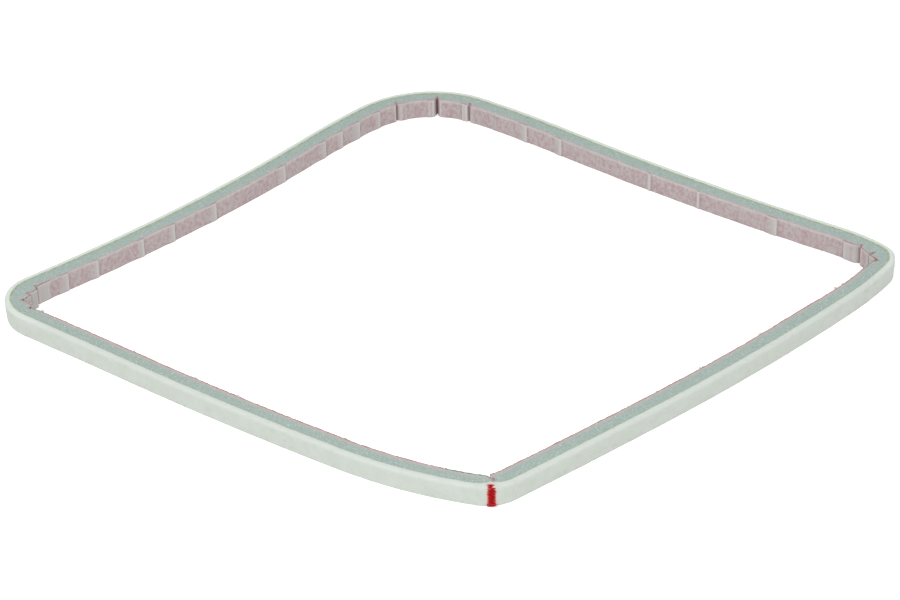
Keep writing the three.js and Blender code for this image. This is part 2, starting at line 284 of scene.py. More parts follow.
def ridge_points():
    """Each ridge of the paper as four points of place and lift."""
    sides = [
        (FOLDS[0][-1, 0], FOLDS[1][0, 0], BACK_RIGHT_RIDGES),
        (FOLDS[-2][-1, 0], FOLDS[-1][0, 0], BACK_LEFT_RIDGES),
    ]
    ridges = []
    for start, end, ridge_list in sides:
        for share, width in ridge_list:
            steep = start + (end - start) * share
            ridges.append(np.array([
                (steep - RIDGE_STEP * MM, 0),
                (steep, RIDGE_LIFT * MM),
                (steep + width * MM, RIDGE_FAR_LIFT * MM),
                (steep + 2 * width * MM, 0),
            ]))
    return ridges


RIDGES = ridge_points()


def foam_lift(places):
    return sum(folded(group[:, :2], places) for group in FOLDS)


def paper_lift(places):
    """Lift of the paper over the plain face: it bridges the creases and stands off in ridges."""
    over_folds = sum(folded(group[:, [0, 2]], places) for group in FOLDS)
    return over_folds + sum(folded(ridge, places) for ridge in RIDGES)


def end_fall(places):
    """How far the foam's rounded ends fall back from its inner face."""
    fall = np.zeros_like(places)
    for distance, length, depth in (
        (places - RING_START, RIGHT_END_LENGTH, RIGHT_END_DEPTH),
        (RING_END - places, LEFT_END_LENGTH, LEFT_END_DEPTH),
    ):
        share = np.clip(distance / length, 0, 1)
        fall += depth * (1 - np.sqrt(1 - (1 - share) ** 2))
    return fall


def beside_seam(places):
    """Distance from the middle of the seam, going round the ring."""
    return np.minimum(np.abs(places - SEAM_MIDDLE), np.abs(places - RING_LENGTH - SEAM_MIDDLE))


def seam_bulge(places):
    """How far the felt's inner face, and the foam's outer one, lie inwards at the seam."""
    beside = beside_seam(places)
    crest = SEAM_CREST * np.exp(-(beside / SEAM_CREST_REACH) ** 2)
    return SEAM_BULGE * np.exp(-(beside / SEAM_BULGE_REACH) ** 2) + crest


def on_front_sides(places):
    """One on the two sides beside the joint, and nought past their corners."""
    run_out = 25 * MM
    right = (end_of("front right side, end") - places) / run_out
    left = (places - end_of("left corner, end")) / run_out
    return np.clip(np.maximum(right, left), 0, 1)


def wave(places, size, height, seed):
    """Smooth unevenness along the strip, between plus and minus a height."""
    values = [noise.noise(Vector((place / size, seed, 0.5))) for place in places]
    return np.array(values) * height


FOAM_WAVE = (14 * MM, 0.35 * MM, 3.1)


def plain_face(places):
    """Inset of the foam's inner face as it is without its folds."""
    at, swell = np.array(FRONT_SWELL).T * MM
    from_joint = np.where(places > RING_LENGTH / 2, places - RING_LENGTH, places)
    return FOAM_INNER + np.interp(from_joint, at, swell) - end_fall(places) + wave(places, *FOAM_WAVE)


def foam_face(places):
    """Inset of the foam's inner face."""
    return plain_face(places) + foam_lift(places)


# Distances of the places that the rounded ends need from the joint, in millimetres
END_STEPS = (0.1, 0.25, 0.5, 0.8, 1.2, 1.7, 2.3, 3, 4, 5, 6)
RIDGE_DETAIL = 0.35 * MM
LEAST_STEP = 0.06 * MM


def strip_places(start, end, side_step, corner_step):
    """Places from start to end, closer together at the corners, at every fold and at the ends."""
    kept = [np.arange(start, end, side_step), [end]]
    for group in FOLDS:
        kept.append(np.arange(group[0, 0], group[-1, 0], corner_step))
        kept.append(group[:, 0])
    for ridge in RIDGES:
        kept.append(np.arange(ridge[0, 0], ridge[1, 0] + 1 * MM, RIDGE_DETAIL))
    for step in END_STEPS:
        kept.append([RING_START + step * MM, RING_END - step * MM])
    places = np.unique(np.concatenate(kept))
    places = places[(places > start) & (places < end)]
    places = np.concatenate([[start], places, [end]])
    clear = np.concatenate([[True], np.diff(places) > LEAST_STEP])
    return places[clear]


# Meshes

EDGE_STEPS = 3


def section_rows(outer, inner, low, high, edges, spans, lean=0.0):
    """Rows round a strip's section, counterclockwise: edges are the radii of its lower inner, upper
    inner, upper outer and lower outer edges, and spans the steps of its inner, top, outer and bottom
    faces. The outer face leans outwards by lean at its top."""
    centres = [
        (inner - edges[0], low + edges[0]),
        (inner - edges[1], high - edges[1]),
        (outer - lean + edges[2], high - edges[2]),
        (outer + edges[3], low + edges[3]),
    ]
    arcs = []
    for k, (x, z) in enumerate(centres):
        angles = [math.pi / 2 * (k - 1 + i / EDGE_STEPS) for i in range(EDGE_STEPS + 1)]
        arcs.append([(x + edges[k] * math.cos(a), z + edges[k] * math.sin(a)) for a in angles])
    rows = []
    for k, arc in enumerate(arcs):
        rows += arc
        (x0, z0), (x1, z1) = arc[-1], arcs[(k + 1) % len(arcs)][0]
        shares = [i / spans[k] for i in range(1, spans[k])]
        rows += [(x0 + (x1 - x0) * share, z0 + (z1 - z0) * share) for share in shares]
    return rows


def new_piece(name, vertices, faces, smooth=True, edges=()):
    mesh = bpy.data.meshes.new(name)
    mesh.from_pydata([tuple(v) for v in vertices], edges, faces)
    mesh.validate()
    if smooth:
        mesh.shade_smooth()
    piece = bpy.data.objects.new(name, mesh)
    bpy.context.scene.collection.objects.link(piece)
    return piece


def sweep(name, places, rows, attributes=None, face=None):
    """Closed strip through a section's rows of insets and heights, with values kept on its points.
    Given a face, what lies beyond it is measured square to it."""
    count, around = len(places), len(rows)
    grid = np.empty((count, around, 3))
    slant = 0 if face is None else np.arctan(np.gradient(face, places))
    for j, (inset, height) in enumerate(rows):
        beyond = 0 if face is None else inset - face
        beside = places - np.sin(slant) * beyond
        grid[:, j, :2] = plan_points(beside, inset - (1 - np.cos(slant)) * beyond)
        grid[:, j, 2] = height
    index = np.arange(count * around).reshape(count, around)
    beside = np.roll(index, -1, axis=1)
    quads = np.stack([index[:-1], beside[:-1], beside[1:], index[1:]], axis=-1).reshape(-1, 4)
    caps = [index[0][::-1].tolist(), index[-1].tolist()]
    piece = new_piece(name, grid.reshape(-1, 3), quads.tolist() + caps)
    for key, values in (attributes or {}).items():
        attribute = piece.data.attributes.new(key, "FLOAT", "POINT")
        spread = np.broadcast_to(np.array(values, np.float32), (around, count)).T
        attribute.data.foreach_set("value", np.ascontiguousarray(spread, np.float32).ravel())
    return piece


def roughen(piece, waves, free=lambda point: 1.0):
    """Moves points along their normals by noise of each size and height, as far as they are free."""
    mesh = piece.data
    normals = [Vector(normal.vector) for normal in mesh.vertex_normals]
    for vertex, normal in zip(mesh.vertices, normals):
        place = vertex.co.copy()
        push = sum(noise.noise(place / size) * height for size, height in waves)
        vertex.co = place + normal * push * free(place)


# Node trees


def add_node(tree, kind, inputs=None, **settings):
    """New node with its settings, and its inputs set or linked."""
    node = tree.nodes.new(kind)
    for key, value in settings.items():
        setattr(node, key, value)
    for key, value in (inputs or {}).items():
        if isinstance(value, bpy.types.NodeSocket):
            tree.links.new(value, node.inputs[key])
        else:
            node.inputs[key].default_value = value
    return node


def set_inputs(node, values):
    for key, value in values.items():
        node.inputs[key].default_value = value


def new_group(name, kind, inputs, outputs):
    """Node group with named sockets, each of a kind and with its usual value: its tree, the sockets
    that it is given and its output node."""
    tree = bpy.data.node_groups.new(name, kind)
    for key, (socket_kind, value) in inputs.items():
        socket = tree.interface.new_socket(key, in_out="INPUT", socket_type="NodeSocket" + socket_kind)
        if value is not None:
            socket.default_value = value
    for key, socket_kind in outputs.items():
        tree.interface.new_socket(key, in_out="OUTPUT", socket_type="NodeSocket" + socket_kind)
    return tree, tree.nodes.new("NodeGroupInput").outputs, tree.nodes.new("NodeGroupOutput")


def maths(tree, operation, first, second=0.0):
    return add_node(tree, "ShaderNodeMath", {0: first, 1: second}, operation=operation).outputs[0]


def mix_colour(tree, mask, first, second):
    inputs = {0: mask, 6: first, 7: second}
    return add_node(tree, "ShaderNodeMix", inputs, data_type="RGBA").outputs[2]


def attribute_mask(tree, name, share=1.0):
    """Mask kept on the piece's points, in full or as a share of it."""
    mask = add_node(tree, "ShaderNodeAttribute", attribute_name=name).outputs["Fac"]
    return mask if share == 1.0 else maths(tree, "MULTIPLY", mask, share)


def ramp(tree, value, low, high):
    """Runs from nought at low to one at high."""
    inputs = {"Value": value, "From Min": low, "From Max": high}
    return add_node(tree, "ShaderNodeMapRange", inputs).outputs[0]


def blotches_group():
    """Soft blotches of a size: the mask runs from nought below Low to one above High."""
    tree, given, result = new_group(
        "blotches",
        "ShaderNodeTree",
        {
            "Vector": ("Vector", None),
            "Size": ("Float", 0.004),
            "Low": ("Float", 0.4),
            "High": ("Float", 0.6),
        },
        {"Mask": "Float"},
    )
    scale = maths(tree, "DIVIDE", 1.0, given["Size"])
    inputs = {"Vector": given["Vector"], "Scale": scale, "Detail": 3.0, "Roughness": 0.6}
    cloud = add_node(tree, "ShaderNodeTexNoise", inputs)
    inputs = {
        "Value": cloud.outputs[0],
        "From Min": given["Low"],
        "From Max": given["High"],
    }
    ramp = add_node(tree, "ShaderNodeMapRange", inputs, interpolation_type="SMOOTHSTEP")
    tree.links.new(ramp.outputs["Result"], result.inputs["Mask"])
    return tree


def fibres_group():
    """Matted fibres: thin stretched strands in several directions."""
    tree, given, result = new_group(
        "matted_fibres",
        "ShaderNodeTree",
        {"Vector": ("Vector", None), "Size": ("Float", 0.0004)},
        {"Height": "Float"},
    )
    scale = maths(tree, "DIVIDE", 1.0, given["Size"])
    total = 0.0
    for turn in ((0.4, 0.3, 0.2), (1.5, 0.9, 2.1), (0.2, 2.3, 1.2)):
        inputs = {"Vector": given["Vector"], "Rotation": turn, "Scale": (1.0, 1.0, 0.16)}
        turned = add_node(tree, "ShaderNodeMapping", inputs)
        inputs = {"Vector": turned.outputs[0], "Scale": scale, "Detail": 2.0, "Distortion": 0.4}
        strands = add_node(tree, "ShaderNodeTexNoise", inputs)
        total = maths(tree, "ADD", strands.outputs[0], total)
    height = maths(tree, "DIVIDE", total, 3.0)
    tree.links.new(height, result.inputs["Height"])
    return tree


def cells_group():
    """Cut foam cells: a height for their walls, and a mask for the few that glint."""
    tree, given, result = new_group(
        "cut_cells",
        "ShaderNodeTree",
        {
            "Vector": ("Vector", None),
            "Size": ("Float", 0.0006),
            "Glints": ("Float", 0.04),
        },
        {"Height": "Float", "Glint": "Float"},
    )
    scale = maths(tree, "DIVIDE", 1.0, given["Size"])
    inputs = {"Vector": given["Vector"], "Scale": scale}
    cells = add_node(tree, "ShaderNodeTexVoronoi", inputs)
    channel = add_node(tree, "ShaderNodeSeparateColor", {0: cells.outputs["Color"]})
    rare = maths(tree, "LESS_THAN", channel.outputs[0], given["Glints"])
    core = maths(tree, "LESS_THAN", cells.outputs["Distance"], 0.45)
    glint = maths(tree, "MULTIPLY", rare, core)
    tree.links.new(cells.outputs["Distance"], result.inputs["Height"])
    tree.links.new(glint, result.inputs["Glint"])
    return tree


BLOTCHES = blotches_group()
FIBRES = fibres_group()
CELLS = cells_group()


def new_material(name, roughness, sheen=0.0, specular=0.3):
    """Material with its tree, its surface shader and its object coordinates."""
    material = bpy.data.materials.new(name)
    material.use_nodes = True
    tree = material.node_tree
    shader = next(node for node in tree.nodes if node.type == "BSDF_PRINCIPLED")
    set_inputs(shader, {
        "Roughness": roughness,
        "Sheen Weight": sheen,
        "Sheen Roughness": 0.6,
        "Specular IOR Level": specular,
    })
    where = tree.nodes.new("ShaderNodeTexCoord").outputs["Object"]
    return material, tree, shader, where


def group_node(tree, group, **inputs):
    """One of the shared groups, placed in a material with its own values."""
    node = add_node(tree, "ShaderNodeGroup", node_tree=group)
    for key, value in inputs.items():
        socket = node.inputs[key.capitalize()]
        if isinstance(value, bpy.types.NodeSocket):
            tree.links.new(value, socket)
        else:
            socket.default_value = value
    return node


def two_tone(tree, where, size, low, high, first, second):
    """Blotches of two colours: their mask and the colour."""
    mask = group_node(tree, BLOTCHES, vector=where, size=size, low=low, high=high).outputs["Mask"]
    return mask, mix_colour(tree, mask, first, second)


def finish_surface(tree, shader, colour, height=None, strength=0.5, distance=0.1 * MM):
    tree.links.new(colour, shader.inputs["Base Color"])
    if height is not None:
        inputs = {"Height": height, "Strength": strength, "Distance": distance}
        bump = add_node(tree, "ShaderNodeBump", inputs)
        tree.links.new(bump.outputs["Normal"], shader.inputs["Normal"])


def rgb(red, green, blue):
    """Linear colour from one written as on a screen, from 0 to 255."""
    def linear(value):
        share = value / 255
        return share / 12.92 if share <= 0.04045 else ((share + 0.055) / 1.055) ** 2.4
    return (linear(red), linear(green), linear(blue), 1.0)


# Colours
FELT_PLAIN = rgb(172, 178, 170)
FELT_PATCH = rgb(176, 182, 175)
FELT_FIBRE = rgb(186, 192, 185)
# Painted highlight along the felt's upper edge, and a paler one along it on the back sides
FELT_TOP_HIGHLIGHT = rgb(187, 194, 188)
FELT_BACK_HIGHLIGHT = rgb(212, 219, 214)
FELT_STAIN = rgb(200, 152, 148)
FOAM_DARK = rgb(126, 143, 137)
FOAM_LIGHT = rgb(156, 170, 164)
FOAM_WALL = rgb(162, 175, 170)
FOAM_SMEAR = rgb(180, 163, 161)
FOAM_GLINT = rgb(222, 229, 226)
GLUE_DARK = rgb(152, 162, 122)
GLUE_LIGHT = rgb(176, 185, 150)
ADHESIVE_DEEP = rgb(170, 96, 101)
ADHESIVE_PALE = rgb(194, 150, 151)
# Paler adhesive for the back sides; in the folds a share of it is painted light against the shade at the
# crease tips
ADHESIVE_LIGHTENED = rgb(182, 156, 159)
PAPER_GREY = rgb(161, 158, 155)
PAPER_PINK = rgb(150, 121, 126)
# Painted shade in the paper's creases and, tinted pink, on their flanks
PAPER_CREASE_SHADE = rgb(122, 86, 94)
PAPER_FLANK_SHADE = rgb(146, 108, 116)
# Painted highlight on the paper's fold edges; the same colour also lightens its upper rim
PAPER_PALE = rgb(188, 185, 183)
# Painted shade along the tab's upper edge
TAB_EDGE_SHADE = rgb(74, 76, 66)
TAB_TURQUOISE = rgb(52, 176, 138)
TAB_LIGHT = rgb(84, 190, 158)
THREAD_DEEP = rgb(148, 4, 6)
THREAD_BRIGHT = rgb(196, 16, 18)


def felt_material():
    material, tree, shader, where = new_material("pressed_felt", 0.95, sheen=0.15, specular=0.1)
    fibres = group_node(tree, FIBRES, vector=where, size=0.5 * MM)
    _, colour = two_tone(tree, where, 9 * MM, 0.35, 0.65, FELT_PLAIN, FELT_PATCH)
    pores = ramp(tree, fibres.outputs["Height"], 0.4, 0.6)
    colour = mix_colour(tree, maths(tree, "MULTIPLY", pores, 0.35), colour, FELT_FIBRE)
    # Painted highlight: lighter along the upper edge, and paler still there on the back sides
    colour = mix_colour(tree, attribute_mask(tree, "top_highlight"), colour, FELT_TOP_HIGHLIGHT)
    colour = mix_colour(tree, attribute_mask(tree, "back_top_highlight"), colour, FELT_BACK_HIGHLIGHT)
    colour = mix_colour(tree, attribute_mask(tree, "thread_stain", 0.3), colour, FELT_STAIN)
    finish_surface(tree, shader, colour, fibres.outputs["Height"], 0.5, 0.15 * MM)
    return material


def foam_material():
    material, tree, shader, where = new_material("cellular_foam", 0.9, specular=0.25)
    _, colour = two_tone(tree, where, 0.9 * MM, 0.34, 0.66, FOAM_DARK, FOAM_LIGHT)
    cells = group_node(tree, CELLS, vector=where, size=0.7 * MM, glints=0.0)
    sparks = group_node(tree, CELLS, vector=where, size=0.75 * MM, glints=0.02)
    walls = ramp(tree, cells.outputs["Height"], 0.2, 0.7)
    colour = mix_colour(tree, maths(tree, "MULTIPLY", walls, 0.4), colour, FOAM_WALL)
    colour = mix_colour(tree, attribute_mask(tree, "inner_smear", 0.75), colour, FOAM_SMEAR)
    glint = maths(tree, "MULTIPLY", sparks.outputs["Glint"], 0.8)
    colour = mix_colour(tree, glint, colour, FOAM_GLINT)
    finish_surface(tree, shader, colour, cells.outputs["Height"], 0.4, 0.2 * MM)
    return material


def glue_material():
    material, tree, shader, where = new_material("olive_glue", 0.55)
    patches, colour = two_tone(tree, where, 2.5 * MM, 0.4, 0.6, GLUE_DARK, GLUE_LIGHT)
    finish_surface(tree, shader, colour, patches, 0.3)
    return material


def adhesive_material():
    material, tree, shader, where = new_material("red_adhesive", 0.45)
    patches, colour = two_tone(tree, where, 1.5 * MM, 0.35, 0.65, ADHESIVE_DEEP, ADHESIVE_PALE)
    # Paler on the back sides, and in part in the folds as painted light against the shade at the crease
    # tips
    colour = mix_colour(tree, attribute_mask(tree, "lightened"), colour, ADHESIVE_LIGHTENED)
    finish_surface(tree, shader, colour, patches, 0.4)
    return material


def paper_material():
    """Waxed paper: the adhesive shows through in pink mottles wherever the two touch."""
    material, tree, shader, where = new_material("release_paper", 0.5)
    stretched = add_node(tree, "ShaderNodeMapping", {"Vector": where, "Scale": (1.0, 1.0, 0.75)})
    coarse = group_node(tree, BLOTCHES, vector=stretched.outputs[0], size=2.6 * MM, low=0.38, high=0.66)
    fine = group_node(tree, BLOTCHES, vector=stretched.outputs[0], size=0.9 * MM, low=0.3, high=0.7)
    mottle = maths(tree, "ADD", maths(tree, "MULTIPLY", coarse.outputs["Mask"], 0.65),
                   maths(tree, "MULTIPLY", fine.outputs["Mask"], 0.35))
    touching = maths(tree, "SUBTRACT", 1.0, attribute_mask(tree, "stands_off"))
    pink = maths(tree, "MULTIPLY", mottle, touching)
    colour = mix_colour(tree, pink, PAPER_GREY, PAPER_PINK)
    # Painted shade: pinkish on the flanks of the deep creases, and deeper in the creases themselves
    colour = mix_colour(tree, attribute_mask(tree, "crease_flank_shade", 0.4), colour, PAPER_FLANK_SHADE)
    colour = mix_colour(tree, attribute_mask(tree, "crease_shade", 0.5), colour, PAPER_CREASE_SHADE)
    # Painted highlight on the fold edges; the upper rim is lightened with the same colour
    pale = maths(tree, "MAXIMUM", attribute_mask(tree, "fold_highlight"), attribute_mask(tree, "rim"))
    colour = mix_colour(tree, maths(tree, "MULTIPLY", pale, 0.6), colour, PAPER_PALE)
    finish_surface(tree, shader, colour, fine.outputs["Mask"], 0.25)
    return material


def tab_material():
    """Turquoise film, darkened along most of its upper edge as painted shade."""
    material, tree, shader, where = new_material("starter_tab_film", 0.4)
    patches, colour = two_tone(tree, where, 5 * MM, 0.3, 0.7, TAB_TURQUOISE, TAB_LIGHT)
    # Painted shade along the upper edge
    colour = mix_colour(tree, attribute_mask(tree, "edge_shade"), colour, TAB_EDGE_SHADE)
    finish_surface(tree, shader, colour, patches, 0.2)
    return material


def thread_material():
    material, tree, shader, where = new_material("red_thread", 0.7, specular=0.12)
    fibres = group_node(tree, FIBRES, vector=where, size=0.15 * MM)
    colour = mix_colour(tree, fibres.outputs["Height"], THREAD_DEEP, THREAD_BRIGHT)
    finish_surface(tree, shader, colour, fibres.outputs["Height"], 0.4, 0.05 * MM)
    return material


FELT = felt_material()
FOAM = foam_material()
GLUE = glue_material()
ADHESIVE = adhesive_material()
PAPER = paper_material()
TAB = tab_material()
THREAD = thread_material()


# Geometry Nodes


def run_tree(piece, tree, values, name):
    """Runs a geometry tree on a piece and returns the result as a plain piece of its own."""
    modifier = piece.modifiers.new("tree", "NODES")
    modifier.node_group = tree
    for item in tree.interface.items_tree:
        if item.in_out == "INPUT" and item.name in values:
            modifier[item.identifier] = values[item.name]
    graph = bpy.context.evaluated_depsgraph_get()
    mesh = bpy.data.meshes.new_from_object(piece.evaluated_get(graph))
    piece.modifiers.remove(modifier)
    mesh.name = name
    made = bpy.data.objects.new(name, mesh)
    bpy.context.scene.collection.objects.link(made)
    return made


def finish_tree(tree, made, given, result):
    """Turns what a tree made into plain geometry of the given material, and puts it out."""
    real = add_node(tree, "GeometryNodeRealizeInstances", {0: made})
    inputs = {"Geometry": real.outputs[0], "Material": given["Material"]}
    done = add_node(tree, "GeometryNodeSetMaterial", inputs)
    tree.links.new(done.outputs[0], result.inputs[0])
    return tree


def across(tree, length, shares):
    """Offset that is a share of a length along each axis."""
    parts = {i: maths(tree, "MULTIPLY", length, share) for i, share in enumerate(shares) if share}
    return add_node(tree, "ShaderNodeCombineXYZ", parts).outputs[0]


def fuzz_tree():
    """Loose fibres that lie on a surface."""
    tree, given, result = new_group(
        "loose_fibres",
        "GeometryNodeTree",
        {
            "Surface": ("Geometry", None),
            "Density": ("Float", 1e5),
            "Length": ("Float", 0.003),
            "Radius": ("Float", 0.00003),
            "Seed": ("Int", 0),
            "Material": ("Material", None),
        },
        {"Fibres": "Geometry"},
    )
    seed = given["Seed"]
    inputs = {"Mesh": given["Surface"], "Density": given["Density"], "Seed": seed}
    scatter = add_node(tree, "GeometryNodeDistributePointsOnFaces", inputs)
    inputs = {
        "Resolution": 4,
        "Start": across(tree, given["Length"], (-0.5, 0, 0)),
        "Middle": across(tree, given["Length"], (0, 0.3, 0.08)),
        "End": across(tree, given["Length"], (0.5, 0, 0.06)),
    }
    strand = add_node(tree, "GeometryNodeCurveQuadraticBezier", inputs)
    inputs = {"Resolution": 3, "Radius": given["Radius"]}
    round_section = add_node(tree, "GeometryNodeCurvePrimitiveCircle", inputs)
    inputs = {"Curve": strand.outputs[0], "Profile Curve": round_section.outputs[0], "Fill Caps": True}
    fibre = add_node(tree, "GeometryNodeCurveToMesh", inputs)
    inputs = {2: 0.0, 3: 2 * math.pi, "Seed": seed}
    spin = add_node(tree, "FunctionNodeRandomValue", inputs, data_type="FLOAT")
    about = add_node(tree, "FunctionNodeAxisAngleToRotation", {0: (0.0, 0.0, 1.0), 1: spin.outputs[1]})
    inputs = {"Rotation": scatter.outputs["Rotation"], "Rotate By": about.outputs[0]}
    turned = add_node(tree, "FunctionNodeRotateRotation", inputs, rotation_space="LOCAL")
    inputs = {2: 0.5, 3: 1.3, "Seed": seed}
    size = add_node(tree, "FunctionNodeRandomValue", inputs, data_type="FLOAT")
    inputs = {
        "Points": scatter.outputs["Points"],
        "Instance": fibre.outputs[0],
        "Rotation": turned.outputs[0],
        "Scale": size.outputs[1],
    }
    laid = add_node(tree, "GeometryNodeInstanceOnPoints", inputs)
    return finish_tree(tree, laid.outputs[0], given, result)


PLIES = 3


def thread_tree():
    """Twisted thread along a line of edges, with a section of round plies."""
    tree, given, result = new_group(
        "twisted_thread",
        "GeometryNodeTree",
        {
            "Line": ("Geometry", None),
            "Step": ("Float", 0.0002),
            "Twist": ("Float", 0.0012),
            "Ply Radius": ("Float", 0.00013),
            "Material": ("Material", None),
        },
        {"Thread": "Geometry"},
    )
    curve = add_node(tree, "GeometryNodeMeshToCurve", {0: given["Line"]})
    inputs = {"Curve": curve.outputs[0], "Length": given["Step"]}
    even = add_node(tree, "GeometryNodeResampleCurve", inputs, mode="LENGTH")
    along = add_node(tree, "GeometryNodeSplineParameter")
    turns = maths(tree, "DIVIDE", along.outputs["Length"], given["Twist"])
    angle = maths(tree, "MULTIPLY", turns, 2 * math.pi)
    inputs = {"Curve": even.outputs[0], "Tilt": angle}
    twisted = add_node(tree, "GeometryNodeSetCurveTilt", inputs)
    plies = add_node(tree, "GeometryNodeJoinGeometry")
    radius = given["Ply Radius"]
    for ply in range(PLIES):
        angle = ply * 2 * math.pi / PLIES
        inputs = {"Resolution": 6, "Radius": radius}
        ring = add_node(tree, "GeometryNodeCurvePrimitiveCircle", inputs)
        side = across(tree, radius, (math.cos(angle), math.sin(angle), 0))
        inputs = {"Geometry": ring.outputs[0], "Translation": side}
        moved = add_node(tree, "GeometryNodeTransform", inputs)
        inputs = {"Curve": twisted.outputs[0], "Profile Curve": moved.outputs[0], "Fill Caps": True}
        swept = add_node(tree, "GeometryNodeCurveToMesh", inputs)
        tree.links.new(swept.outputs[0], plies.inputs[0])
    return finish_tree(tree, plies.outputs[0], given, result)


# Pieces


def finish_piece(piece, material, slot, *nodes):
    """Gives a piece its material, lets it ride, and hides the CAD nodes that it stands for. The slot is
    not used.
    """
    if not piece.data.materials:
        piece.data.materials.append(material)
    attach(piece, "root")
    if nodes:
        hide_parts(*nodes)
    return piece


SEAM_PINCH = 0.25 * MM
SEAM_PINCH_REACH = 2.6 * MM
STAIN_REACH = 1.5 * MM
TOP_HIGHLIGHT_DEPTH = 3 * MM
FLOOR_EDGE = 0.3 * MM


def above_floor(point):
    """Nought for a point that the strip stands on, and one for the rest."""
    return 0.0 if point.z < FLOOR_EDGE else 1.0


def felt_strip():
    """Thick soft felt that leans out to a full rounded upper edge, and is drawn in a little under the
    stitches."""
    places = strip_places(RING_START, RING_END, 2.2 * MM, 1.1 * MM)
    outer = -FELT_FOOT + SEAM_PINCH * np.exp(-(beside_seam(places) / SEAM_PINCH_REACH) ** 2)
    edges = [0.25 * MM, 0.3 * MM, FELT_EDGE, 0.6 * MM]
    high = STRIP_HEIGHT + FELT_RISE * (1 - 0.6 * on_front_sides(places))
    lean = FELT_HEAD - FELT_FOOT
    rows = section_rows(outer, seam_bulge(places), 0.0, high, edges, [4, 3, 9, 3], lean)
    stain = np.clip(1 - (beside_seam(places) - SEAM_HALF_WIDTH) / STAIN_REACH, 0, 1)
    # Masks of painted highlight: a lighter band along the upper edge, and a paler one there on the back
    # sides
    top_highlight = [np.clip((height - high) / TOP_HIGHLIGHT_DEPTH + 1, 0, 1) for _, height in rows]
    back_top_highlight = [0.25 * part * (1 - on_front_sides(places)) for part in top_highlight]
    kept = {"thread_stain": stain, "top_highlight": top_highlight, "back_top_highlight": back_top_highlight}
    piece = sweep("felt_strip", places, rows, kept)
    roughen(piece, [(14 * MM, 0.16 * MM), (4 * MM, 0.08 * MM), (1.5 * MM, 0.06 * MM)], above_floor)
    finish_piece(piece, FELT, "felt", "felt_facing")
    return piece


def felt_fuzz(felt):
    """Loose fibres on the felt."""
    values = {
        "Density": 0.9e5,
        "Length": 2.6 * MM,
        "Radius": 0.03 * MM,
        "Seed": 5,
        "Material": FELT,
    }
    piece = run_tree(felt, fuzz_tree(), values, "felt_fuzz")
    for vertex in piece.data.vertices:
        vertex.co.z = max(vertex.co.z, 0)
    return finish_piece(piece, FELT, "felt")


def foam_strip():
    """Foam with creases and bulges on its inner face and rounded ends at the joint."""
    places = strip_places(RING_START, RING_END, 2.0 * MM, 0.6 * MM)
    inner = foam_face(places)
    top = FOAM_TOP + wave(places, 20 * MM, 0.08 * MM, 8.2)
    edges = [0.25 * MM, 0.25 * MM, 0.55 * MM, 0.3 * MM]
    spans = [4, 12, 2, 3]
    rows = section_rows(FOAM_OUTER + seam_bulge(places), inner, 0.0, top, edges, spans)
    strength = 0.15 + 0.85 * on_front_sides(places)
    smear = [np.clip(1 - (inner - inset) / (4.6 * MM), 0, 1) * strength for inset, _ in rows]
    piece = sweep("foam_strip", places, rows, {"inner_smear": smear})
    roughen(piece, [(3 * MM, 0.07 * MM)], above_floor)
    finish_piece(piece, FOAM, "foam", "foam_core")
    return piece


def glue_line():
    """Glue film that fills the joint between felt and foam, to an uneven height."""
    places = strip_places(RING_START, RING_END, 1.5 * MM, 1.0 * MM)
    smears = wave(places, 5 * MM, 0.16 * MM, 1.7) + wave(places, 2 * MM, 0.12 * MM, 4.4)
    top = STRIP_HEIGHT - (0.15 + 0.25 * on_front_sides(places)) * MM + smears
    width = GLUE_WIDTH + wave(places, 4 * MM, 0.1 * MM, 6.1)
    outer = LAYER_GAP + seam_bulge(places)
    rows = section_rows(outer, outer + width, 0.1 * MM, top, [0.05 * MM] * 4, [2, 2, 2, 2])
    piece = sweep("glue_line", places, rows)
    return finish_piece(piece, GLUE, "glue_film", "bonding_film")


NICKS = [139, 382.6, 1767, 1809]


def nicked(places):
    """Depth of the nicks in the adhesive's upper edge."""
    depth = np.zeros_like(places)
    for place in NICKS:
        depth += 0.7 * MM * np.exp(-((places - place * MM) / (0.9 * MM)) ** 2)
    return depth


def full_adhesive(places):
    """One where the adhesive stands highest and is deepest red, on the front sides and in the folds, and
    less on the plain stretches of the back sides. In the folds it stays below one, so that the crease tips
    are painted lighter against their shade."""
    run_out = 5 * MM
    full = on_front_sides(places)
    for group in FOLDS:
        inside = np.minimum(places - group[0, 0], group[-1, 0] - places) / run_out + 1
        full = np.maximum(full, 0.45 * np.clip(inside, 0, 1))
    return full


def adhesive_film():
    """Adhesive on the foam's inner face, with ragged edges that stand a little above the foam."""
    places = strip_places(RING_START + RIGHT_END_BARE, TAB_START, 0.6 * MM, 0.5 * MM)
    face = foam_face(places) + LAYER_GAP
    ragged = wave(places, 3.1 * MM, 0.3 * MM, 2.3) + wave(places, 1.2 * MM, 0.25 * MM, 7.7)
    full = full_adhesive(places)
    top = FOAM_TOP + (0.05 + 0.25 * full) * MM + ragged - nicked(places)
    low = 0.3 * MM + np.abs(wave(places, 2 * MM, 0.4 * MM, 5.2))
    rows = section_rows(face, face + ADHESIVE_THICKNESS, low, top, [0.06 * MM] * 4, [3, 1, 3, 1])
    # Paler colour on the back sides, and in part in the folds as painted light against the crease tips'
    # shade
    piece = sweep("adhesive_layer", places, rows, {"lightened": 0.75 * (1 - full)}, face)
    return finish_piece(piece, ADHESIVE, "adhesive", "adhesive_film")


def crease_flank_shade(places):
    """Mask of painted shade: one at the foot of each deep crease, fading to nought a few millimetres to
    either side.
    """
    depth, reach = 1.5 * MM, 2.6 * MM
    creases = [place for group in FOLDS for place, lift, _ in group if lift < -depth]
    return sum(np.exp(-((places - crease) / reach) ** 2) for crease in creases).clip(0, 1)


# Shifts over which the paper's lift is averaged, in millimetres
NEARBY = (-2.4, -1.6, -0.8, 0, 0.8, 1.6, 2.4)


